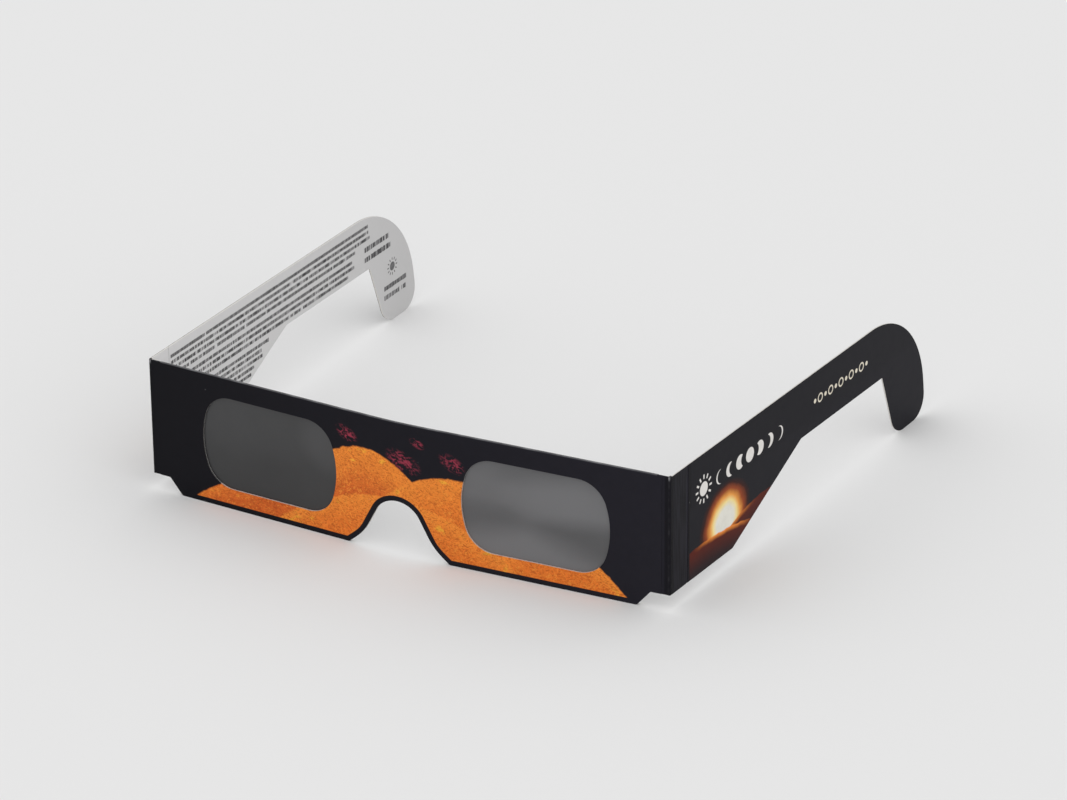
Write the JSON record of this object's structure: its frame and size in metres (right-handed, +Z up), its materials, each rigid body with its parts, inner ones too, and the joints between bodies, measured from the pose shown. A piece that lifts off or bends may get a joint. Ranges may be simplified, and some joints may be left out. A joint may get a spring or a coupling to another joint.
{
  "type": "eclipse glasses",
  "caption": "Folding paperboard viewing glasses with dark film windows, a nose arch and creased temples that end in ear hooks.",
  "frame": {"origin": "middle of the bounding box at its bottom, on the table that the pair stands on", "axes": "+X to the wearer's left, +Y from the printed outer face back to the ears, +Z up"},
  "size_m": [0.1484, 0.126, 0.0342],
  "materials": {
    "printed_card": "coated satin print",
    "inner_card": "uncoated matte",
    "film": "smooth dark film",
    "adhesive": "dry adhesive"
  },
  "bodies": {
    "front": {"front_panel": "printed_card", "back_panel": "inner_card", "top_fold": "printed_card", "glue_layer": "adhesive", "left_filter": "film", "right_filter": "film", "left_corner_crease": "printed_card", "right_corner_crease": "printed_card"},
    "left_strip": {"left_hinge_strip": "printed_card", "left_temple_crease": "printed_card"},
    "left_arm": {"left_temple": "printed_card"},
    "right_strip": {"right_hinge_strip": "printed_card", "right_temple_crease": "printed_card"},
    "right_arm": {"right_temple": "printed_card"}
  },
  "joints": [
    {"name": "left_corner_fold", "type": "hinge", "parent": "front", "child": "left_strip", "pos_m": [0.06522, -0.05913, 0.01915], "axis": [0, 0.0082, 1], "range_deg": [-75.54, 85.36]},
    {"name": "left_temple_fold", "type": "hinge", "parent": "left_strip", "child": "left_arm", "pos_m": [0.06597, -0.05167, 0.01909], "axis": [0, 0.0082, 1], "range_deg": [-7.55, 8.54]},
    {"name": "right_corner_fold", "type": "hinge", "parent": "front", "child": "right_strip", "pos_m": [-0.07375, -0.05913, 0.01915], "axis": [0, -0.0082, -1], "range_deg": [-80.18, 76.64]},
    {"name": "right_temple_fold", "type": "hinge", "parent": "right_strip", "child": "right_arm", "pos_m": [-0.07383, -0.05163, 0.01909], "axis": [0, -0.0082, -1], "range_deg": [-8.02, 7.66]}
  ],
  "couplings": [
    {"joint": "left_temple_fold", "follows": "left_corner_fold", "ratio": 0.1},
    {"joint": "right_temple_fold", "follows": "right_corner_fold", "ratio": 0.1}
  ]
}
